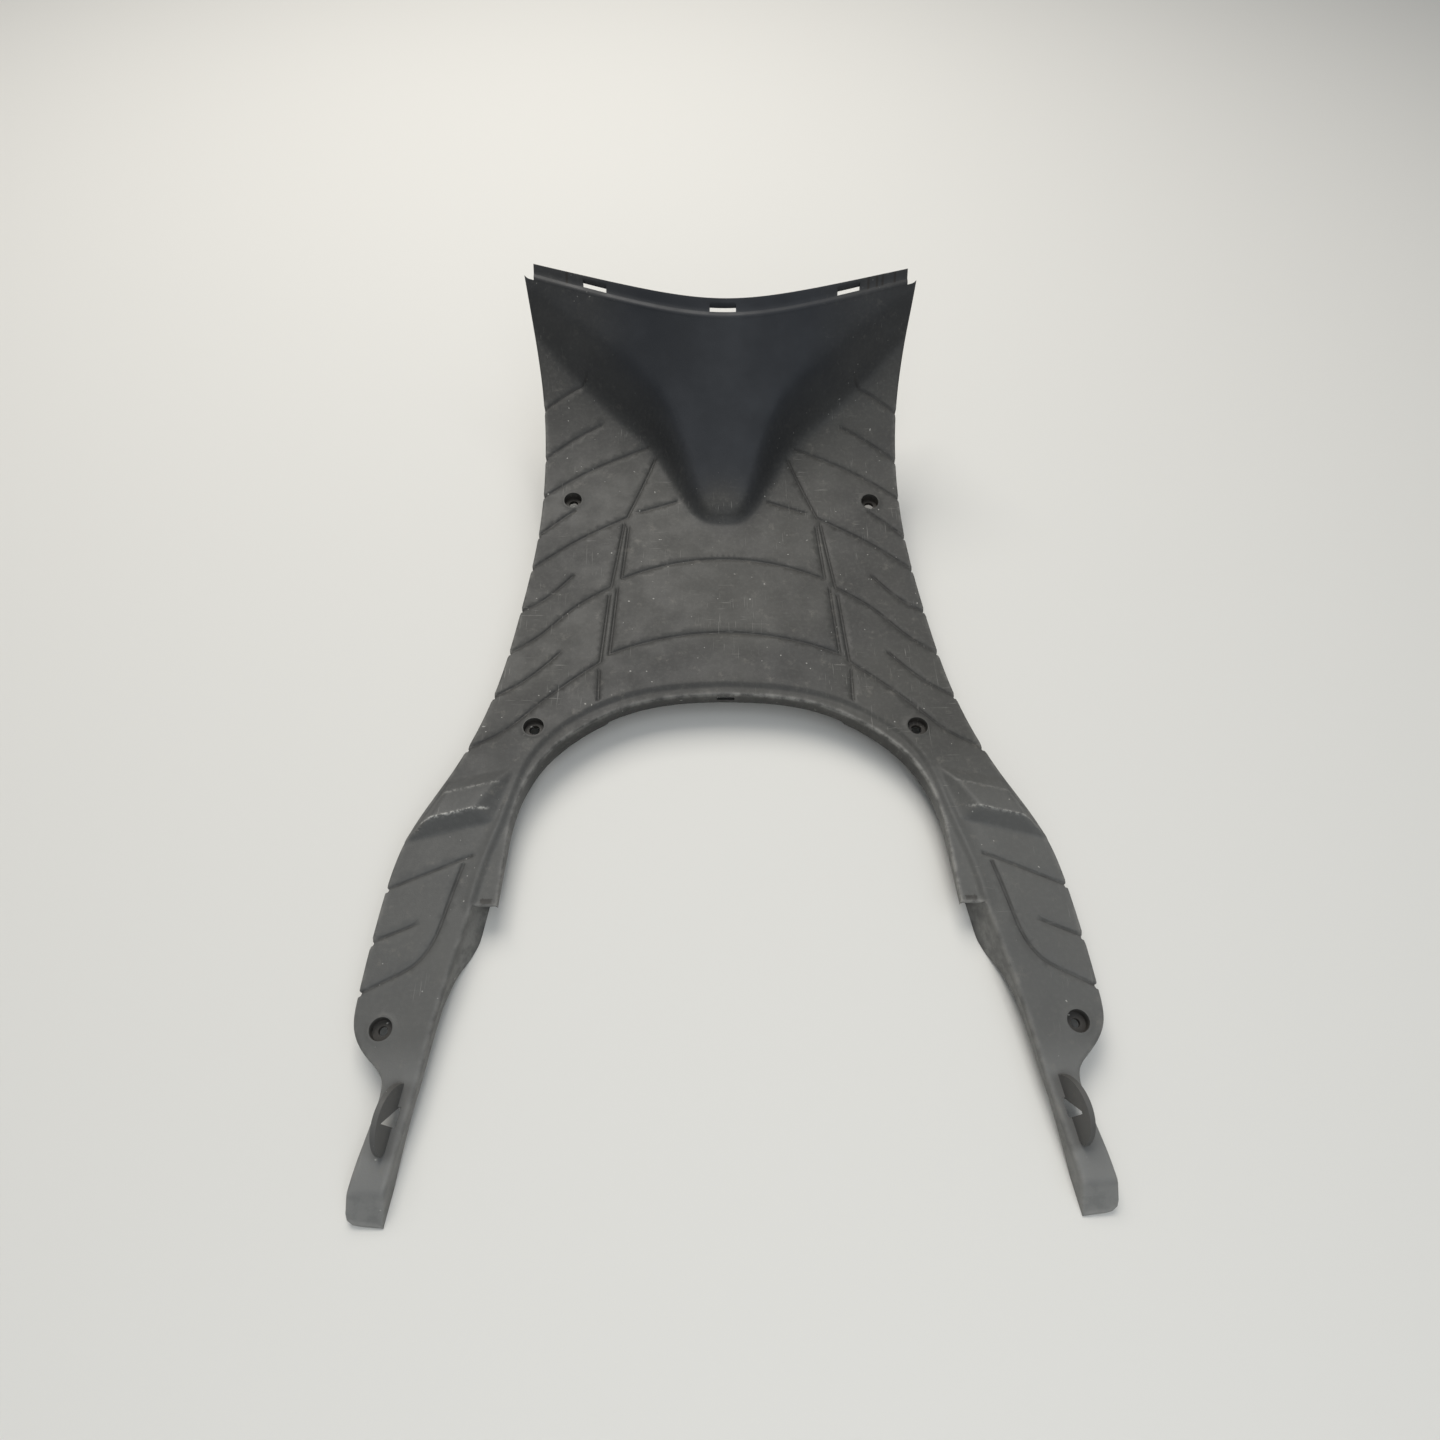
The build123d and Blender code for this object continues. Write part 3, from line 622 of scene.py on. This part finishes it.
def build_flange(shell):
    """Flange ahead of the lip: the front face carried on, let down by a sloped joggle, with three slots."""
    end = LIP_HALF - FLANGE_INSET
    cuts = [-SLOT_SIDE, 0.0, SLOT_SIDE]
    half = [SLOT_WIDTH / 2 * np.cos(np.arctan(LIP_SWEEP * c / np.hypot(c, LIP_BOW))) for c in cuts]
    marks = np.concatenate([[c - h, c + h] for c, h in zip(cuts, half)])
    # Extra columns round each place of the painted shadow lines
    marks = np.concatenate([marks] + [np.array(FLANGE_TICKS) + d for d in (-1.3, -0.6, 0.6, 1.3)])
    x = np.unique(np.concatenate([np.linspace(-end, end, 90), marks]))
    gap = np.abs(x[:, None] - marks[None]).min(1)
    x = x[(gap < 1e-6) | (gap > 1.2)]
    x[0], x[-1] = -end, end
    t = np.array([-FLANGE_LAP, -2.0, -1.3, -0.6, 0.3, 1.2, 2.2, 3.2, SLOT_GAP, SLOT_GAP + SLOT_RUN / 2,
                  SLOT_GAP + SLOT_RUN, 9.0, 10.2, 10.8, FLANGE_RUN])
    sink = np.interp(t, (-2.0, -1.3, 0.3, SLOT_GAP), (0.6, -0.05, 0.1, JOGGLE)) + (t < -2.5) * JOGGLE
    ease = np.interp(t, (10.2, 10.8, 11.0), (0, 0.2, 0.8))
    gx, gt = np.meshgrid(x, t)
    past = np.clip((gt - SLOT_GAP - SLOT_RUN) / (FLANGE_RUN - SLOT_GAP - SLOT_RUN), 0, 1)
    gt = gt - FLANGE_TAPER * (gx / end) ** 2 * past
    gy = lip_y(gx) + gt
    square = np.hypot(1, FACE_SLOPE)
    z = face_height(gx, gy)
    top = np.stack([gx, gy, z - sink[:, None] * square - ease[:, None]], axis=2)
    bottom = np.stack([gx, gy, z - (np.maximum(sink[:, None], JOGGLE) + WALL) * square], axis=2)
    mid = (x[1:] + x[:-1]) / 2
    slot = np.any([np.abs(mid - c) < h for c, h in zip(cuts, half)], axis=0)
    run = ((t[1:] + t[:-1]) / 2 > SLOT_GAP) & ((t[1:] + t[:-1]) / 2 < SLOT_GAP + SLOT_RUN)
    shell.add(*slab(top, bottom, ~(run[:, None] & slot[None])))


def build_fins(shell):
    """Half-round fin on each tail: an arc over its run, leaning outboard as it rises, with a three-cornered
    window at its foot."""
    foot = deck_height(np.array((FIN_START[1] + FIN_END[1]) / 2)) - WALL / 2
    rise = FIN_RISE + WALL / 2
    radius = ((FIN_LONG / 2) ** 2 + rise**2) / (2 * rise)
    u = np.linspace(FIN_LONG - 0.4, 0.4, 34)
    arc = np.sqrt(radius**2 - (u - FIN_LONG / 2) ** 2) - radius + rise
    start, end = FIN_WINDOW
    base = [(2, 0), (6, 0), (start, 0), ((start + end) / 2, (FIN_WINDOW_RISE + WALL / 2) / 2),
            (end, FIN_WINDOW_RISE + WALL / 2), (end, FIN_WINDOW_RISE / 2), (end, 0), (28, 0), (34, 0)]
    loop = np.concatenate([base, np.stack([u, arc], axis=1)])
    p, tri = sheet(loop, [], fill_points(loop, [], np.zeros((0, 2)), 3.0, 0.8))
    n, k = len(p), np.arange(len(loop))
    for side in (1, -1):
        plan = FIN_START + np.outer(p[:, 0], FIN_WAY) + np.outer(p[:, 1] / rise * FIN_LEAN, FIN_OUT)
        inside = np.column_stack([plan, foot + p[:, 1]])
        outside = inside + np.append(FIN_OUT * FIN_THICK, 0)
        faces = np.concatenate([tri, tri[:, ::-1] + n])
        at = shell.add(np.concatenate([inside, outside]) * [side, 1, 1], faces)
        shell.join(at[k], at[k + n])


def build_ribs(shell):
    """Stiffening ribs under the deck: two along and two across, hanging from the sheet."""
    end = RIB_X + RIB_WIDTH / 2
    runs = [[(x, RIB_REAR), (x, RIB_FRONT)] for x in (-RIB_X, RIB_X)]
    runs += [[(-end, y), (end, y)] for y in (RIB_REAR, RIB_FRONT)]
    for a, b in np.array(runs):
        sides = np.stack(offset_rows(np.linspace(a, b, 16), (-RIB_WIDTH / 2, RIB_WIDTH / 2)))
        deck = deck_height(sides[..., 1])
        top = np.concatenate([sides, (deck - WALL / 2)[..., None]], axis=2)
        bottom = np.concatenate([sides, (deck - WALL - RIB_DEPTH)[..., None]], axis=2)
        shell.add(*slab(top, bottom, np.ones((1, 15), bool)))


def make_piece(name, shell):
    """Mesh object, in metres about the panel's origin, with closed shells turned to face outwards."""
    p = np.concatenate(shell.points)
    f = np.concatenate(shell.faces)
    place = (p - [0, MIDDLE_Y, 0]) * 0.001
    mesh = bpy.data.meshes.new(name)
    mesh.from_pydata(place.tolist(), [], f.tolist())
    bm = bmesh.new()
    bm.from_mesh(mesh)
    bmesh.ops.recalc_face_normals(bm, faces=bm.faces)
    bm.to_mesh(mesh)
    bm.free()
    mesh.validate()
    obj = bpy.data.objects.new(name, mesh)
    bpy.context.scene.collection.objects.link(obj)
    return obj, p


shell = Shell()
build_panel(shell)
build_flange(shell)
build_fins(shell)
build_ribs(shell)
panel, panel_points = make_piece("moulded_panel", shell)
panel.data.set_sharp_from_angle(angle=np.radians(48))
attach(panel, "root")
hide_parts("floorboard")


def linear(code):
    """sRGB hex to linear red, green, blue."""
    c = np.array([int(code[i:i + 2], 16) for i in (1, 3, 5)]) / 255
    return np.where(c <= 0.04045, c / 12.92, ((c + 0.055) / 1.055) ** 2.4)


def node(tree, kind, settings=(), **links):
    """Adds a node, sets its properties and inputs, and links inputs given as sockets."""
    new = tree.nodes.new(kind)
    for key, value in settings:
        setattr(new, key, value)
    for key, value in links.items():
        number = key[0] == "i" and key[1:].isdigit()
        socket = new.inputs[int(key[1:]) if number else key.replace("_", " ")]
        if isinstance(value, bpy.types.NodeSocket):
            tree.links.new(value, socket)
        else:
            socket.default_value = value
    return new


def surface_marks(obj, p):
    """Marks for each place on the panel, kept on the mesh for its material, from 0 to 1: trodden outside the
    nose, with a painted highlight at its tip; grooved, for painted shade and dirt; near an edge, with a painted
    highlight on the rear bay's rim; scuffing with a painted highlight along the heel blocks' crests; grime and
    painted shade; dust with painted reflected light; painted light, paler towards the rear and on the arms."""
    plan = p[:, :2]
    x, y = plan.T
    form = form_height(plan)
    on_show = np.abs(p[:, 2] - form) < 2.6
    inside = near_line(plan, BASE_LINE)[0] * np.where(y > nose_base(x), 1, -1)
    tread_and_tip_highlight = 1 - step_curve((inside + 8) / 30)
    # Painted highlight at the nose's tip, with wear from feet
    tread_and_tip_highlight = np.maximum(tread_and_tip_highlight, 1.15 * np.exp(-((x / 26) ** 2) - ((y - 168) / 15) ** 2))
    # The faded share also grows towards both sides
    tread_and_tip_highlight = np.maximum(tread_and_tip_highlight, 0.5 * step_curve((np.abs(x) - 62) / 60))
    drop = np.maximum(form - p[:, 2] - EDGE_ROLL, 0)
    all_round = near_line(plan, np.concatenate([EDGE[::3], EDGE[:1]]))[0]
    edge = 0.45 * np.exp(-((np.hypot(all_round, drop) / 2.0) ** 2)) * (y < 270)
    # Painted highlight along the rear bay's rim, brighter on the right
    bay = near_line(plan, EDGE[RIM_EDGE])[0]
    edge = np.maximum(edge, np.where(x > 0, 1.0, 0.6) * np.exp(-((np.hypot(bay, drop) / 1.7) ** 2)))
    q = np.stack([np.abs(x), y], axis=1)
    ahead = block_ahead(q)
    # Bright lines along the heel blocks' crest and crease: scuffing with a painted highlight, stronger on the
    # left
    raised = step_curve((form - deck_height(y) - 2.0) / 3.0) * (np.abs(y + 90) < 38) * on_show
    crest, crease = ahead - BLOCK_RUN[2], ahead - BLOCK_RUN[3]
    scuff_and_crest_highlight = np.maximum(np.exp(-((crest / 0.8) ** 2)), 0.35 * np.exp(-((crease / 0.7) ** 2)))
    scuff_and_crest_highlight = scuff_and_crest_highlight * raised * np.where(x < 0, 1.0, 0.5)
    beside = (q - FIN_START) @ FIN_OUT
    along = (q - FIN_START) @ FIN_WAY
    # Painted shade and grime along the fin's foot
    grime_and_shade = 0.55 * np.exp(-((beside / 9) ** 2)) * step_curve((along + 3) / 6)
    grime_and_shade = grime_and_shade * step_curve((FIN_LONG + 3 - along) / 6)
    # Painted shade: the fins themselves made dark
    grime_and_shade = np.maximum(grime_and_shade, 0.7 * (p[:, 2] > form + 1.0) * (y < -255))
    # Painted shade and grime in the screw recesses
    for sx, sy, recess, _ in SCREWS:
        grime_and_shade = np.maximum(grime_and_shade, np.hypot(q[:, 0] - sx, q[:, 1] - sy) < recess + 0.2)
    # Painted shade in the clip's recess
    clip = (np.abs(q - CLIP_AT) < CLIP_HALF).all(1) & on_show
    grime_and_shade = np.maximum(grime_and_shade, 0.9 * clip)
    # Painted shadow lines at the ticks on the lip's flange
    ahead_of_lip = y - lip_y(x)
    tick = np.abs(x[:, None] - np.array(FLANGE_TICKS)[None]).min(1) < 0.9
    grime_and_shade = np.maximum(grime_and_shade, tick * (ahead_of_lip > 2.5) * (ahead_of_lip < 9.5))
    # Painted light: paler towards the rear and palest on the arms
    painted_rear_light = 0.33 * step_curve((-40 - y) / 70) + 0.57 * step_curve((-235 - y) / 50)
    # Paler tail ends: dust with painted reflected light
    dust_and_reflection = 0.55 * step_curve((-318.5 - y) / 2.5) * (p[:, 2] > 1.5)
    # Paler arm walls: painted reflection of the bright floor, with dust
    wall = step_curve((drop - 1.0) / 2.0) * (all_round < 4)
    dust_and_reflection = np.maximum(dust_and_reflection, 0.6 * wall * step_curve((-60 - y) / 60))
    marks = {"tread_and_tip_highlight": tread_and_tip_highlight, "groove": groove_share(plan) * on_show, "edge": edge, "scuff_and_crest_highlight": scuff_and_crest_highlight,
             "grime_and_shade": grime_and_shade, "dust_and_reflection": dust_and_reflection, "painted_rear_light": painted_rear_light}
    for name, values in marks.items():
        mark = obj.data.attributes.new(name, "FLOAT", "POINT")
        mark.data.foreach_set("value", values.astype(np.float32))


surface_marks(panel, panel_points)

# Black-grey polypropylene, injection moulded with a fine spark-eroded grain: matte, a little blue where it is
# clean, faded to warm grey where feet and weather reach it, and whitened where an edge has been scuffed; painted
# light and shade are laid into its colour as well, as marked below.
plastic = bpy.data.materials.new("moulded_polypropylene")
plastic.use_nodes = True
tree = plastic.node_tree
shader = tree.nodes["Principled BSDF"]
spot = tree.nodes.new("ShaderNodeTexCoord").outputs["Object"]
mark = {name: node(tree, "ShaderNodeAttribute", [("attribute_name", name)]).outputs["Fac"]
        for name in ("tread_and_tip_highlight", "groove", "edge", "scuff_and_crest_highlight", "grime_and_shade", "dust_and_reflection", "painted_rear_light")}


def noise(size_mm, detail=3.0, rough=0.55, stretch=(1, 1, 1)):
    """Noise with features of about this size, drawn out along an axis by its stretch."""
    at = node(tree, "ShaderNodeMapping", i0=spot, Scale=tuple(1 / s for s in stretch)).outputs[0]
    new = node(tree, "ShaderNodeTexNoise", i0=at, Scale=1000 / size_mm, Detail=detail, Roughness=rough)
    return new.outputs["Fac"]


def ramp(value, low, high, to_low=0.0, to_high=1.0):
    """Smooth step of a value between two limits."""
    return node(tree, "ShaderNodeMapRange", [("interpolation_type", "SMOOTHSTEP")], Value=value,
                From_Min=low, From_Max=high, To_Min=to_low, To_Max=to_high).outputs[0]


def mix(share, a, b):
    """Two colours mixed by a share."""
    new = node(tree, "ShaderNodeMix", [("data_type", "RGBA")], i0=share)
    for socket, value in ((new.inputs[6], a), (new.inputs[7], b)):
        if isinstance(value, str):
            socket.default_value = (*linear(value), 1)
        else:
            tree.links.new(value, socket)
    return new.outputs[2]


def times(a, b):
    """Product of two values."""
    return node(tree, "ShaderNodeMath", [("operation", "MULTIPLY")], i0=a, i1=b).outputs[0]


# Clean plastic, mottled over about 40 mm, then the faded tread with patches and fine mottle, then painted light
# that makes it paler towards the rear and palest on the arms
clean = mix(ramp(noise(40), 0.35, 0.7), "#27292d", "#2e3034")
faded = mix(ramp(noise(70, 4), 0.35, 0.68), "#3d3c3a", "#454441")
faded = mix(ramp(noise(3.0, 2), 0.4, 0.75, 0.0, 0.3), faded, "#565551")
# The tread mark also carries the painted highlight at the nose's tip
colour = mix(times(mark["tread_and_tip_highlight"], ramp(noise(110, 2), 0.2, 0.6, 0.75, 1.0)), clean, faded)
# Painted light, paler towards the rear
colour = mix(times(mark["painted_rear_light"], ramp(noise(90, 2), 0.25, 0.65, 0.8, 1.0)), colour, "#787876")
# Painted shade in the grooves and recesses, on and round the fins, in the clip's recess and at the flange's
# ticks, with dirt that feet do not reach in the grooves, the recesses and round the fins
colour = mix(times(mark["groove"], ramp(noise(12), 0.3, 0.7, 0.3, 0.65)), colour, "#232221")
colour = mix(times(mark["grime_and_shade"], 0.75), colour, "#2a2622")
# Dust film and dried splashes a few millimetres across; then pale dust with painted reflected light on the tail
# ends and the arms' walls
colour = mix(times(mark["tread_and_tip_highlight"], ramp(noise(9, 5, 0.7), 0.56, 0.76, 0.0, 0.35)), colour, "#77736c")
colour = mix(times(mark["dust_and_reflection"], ramp(noise(7, 4, 0.65), 0.36, 0.62, 0.25, 0.8)), colour, "#8d8c88")
# Scuffs drawn along and across the deck, under half a millimetre wide, and small white specks
along = times(ramp(noise(0.8, 2, 0.5, (1, 28, 8)), 0.66, 0.72), ramp(noise(45, 2), 0.5, 0.64))
across = times(ramp(noise(0.8, 2, 0.5, (24, 1.4, 8)), 0.67, 0.73), ramp(noise(52, 2), 0.53, 0.66))
specks = times(mark["tread_and_tip_highlight"], ramp(noise(2.4, 0), 0.85, 0.87))
colour = mix(times(times(along, mark["tread_and_tip_highlight"]), 0.45), colour, "#8a8883")
colour = mix(times(times(across, mark["tread_and_tip_highlight"]), 0.4), colour, "#8a8883")
colour = mix(times(specks, 0.6), colour, "#b0aea8")
# Whitened edges where the panel has been handled, with a painted highlight along the rear bay's rim, and bright
# lines on the heel blocks' crests and creases, scuffing with a painted highlight
colour = mix(times(mark["edge"], ramp(noise(9, 4, 0.65), 0.36, 0.62, 0.15, 0.75)), colour, "#96948f")
colour = mix(times(mark["scuff_and_crest_highlight"], ramp(noise(2.6, 4, 0.7), 0.43, 0.55, 0.1, 0.9)), colour, "#b9b7b1")
tree.links.new(colour, shader.inputs["Base Color"])
tree.links.new(ramp(noise(25, 4), 0.3, 0.7, 0.46, 0.6), shader.inputs["Roughness"])
shader.inputs["IOR"].default_value = 1.49
shader.inputs["Specular IOR Level"].default_value = 0.3
# The real grain is about 0.1 mm; it is drawn at 0.9 mm so that it shows
grain = node(tree, "ShaderNodeBump", Strength=0.2, Distance=0.0004, Height=noise(0.9, 2, 0.6)).outputs[0]
wave = node(tree, "ShaderNodeBump", Strength=0.25, Distance=0.002, Height=noise(38, 2), Normal=grain)
tree.links.new(wave.outputs[0], shader.inputs["Normal"])
panel.data.materials.append(plastic)

floor_mesh = bpy.data.meshes.new("floor")
floor_mesh.from_pydata([(-6, -6, 0), (6, -6, 0), (6, 6, 0), (-6, 6, 0)], [], [(0, 1, 2, 3)])
floor = bpy.data.objects.new("floor", floor_mesh)
bpy.context.scene.collection.objects.link(floor)
paint = bpy.data.materials.new("pale_floor")
paint.use_nodes = True
paint.node_tree.nodes["Principled BSDF"].inputs["Base Color"].default_value = (*linear("#d9d7d2"), 1)
paint.node_tree.nodes["Principled BSDF"].inputs["Roughness"].default_value = 0.8
floor_mesh.materials.append(paint)

# Camera at the photograph's viewpoint: above the arms, looking down and forwards; its focal length is in pixels
# of a picture this wide
FOCAL, PICTURE_WIDTH = 830, 1440
dip, swing, roll = np.radians([57.0, 2.8359, 2.2596])
ahead = np.array([np.sin(swing) * np.cos(dip), np.cos(swing) * np.cos(dip), -np.sin(dip)])
right = np.array([np.cos(swing), -np.sin(swing), 0.0])
up = np.cross(right, ahead)
turned = [right * np.cos(roll) + up * np.sin(roll), up * np.cos(roll) - right * np.sin(roll), -ahead]
lens = bpy.data.cameras.new("view")
lens.sensor_width = 36.0
lens.lens = FOCAL / PICTURE_WIDTH * lens.sensor_width
lens.clip_start = 0.01
camera = bpy.data.objects.new("view", lens)
place = Matrix(np.stack(turned, axis=1).tolist()).to_4x4()
place.translation = (-0.020835, -0.350 - MIDDLE_Y * 0.001, 0.530)
camera.matrix_world = place
bpy.context.scene.collection.objects.link(camera)
bpy.context.scene.camera = camera

world = bpy.data.worlds.new("room")
bpy.context.scene.world = world
world.use_nodes = True
world.node_tree.nodes["Background"].inputs["Color"].default_value = (0.86, 0.93, 1.0, 1)
world.node_tree.nodes["Background"].inputs["Strength"].default_value = 0.2


def softbox(name, at, aim, size, power, tint):
    """Square area lamp at a place, aimed at a point."""
    lamp = bpy.data.lights.new(name, "AREA")
    lamp.size, lamp.energy, lamp.color = size, power, tint
    obj = bpy.data.objects.new(name, lamp)
    way = np.subtract(aim, at)
    obj.rotation_mode = "QUATERNION"
    obj.rotation_quaternion = Vector(way).to_track_quat("-Z", "Y")
    obj.location = at
    bpy.context.scene.collection.objects.link(obj)


softbox("window", (-0.35, 1.3, 1.9), (0, 0.0, 0), 1.5, 44, (1.0, 0.97, 0.92))
softbox("ceiling", (0.6, -0.5, 2.2), (0, 0, 0), 2.0, 12, (0.88, 0.94, 1.0))
softbox("fill", (0.05, -1.0, 0.9), (0, -0.3, 0), 0.9, 4.5, (0.95, 0.98, 1.0))

bpy.context.scene.view_settings.view_transform = "Standard"
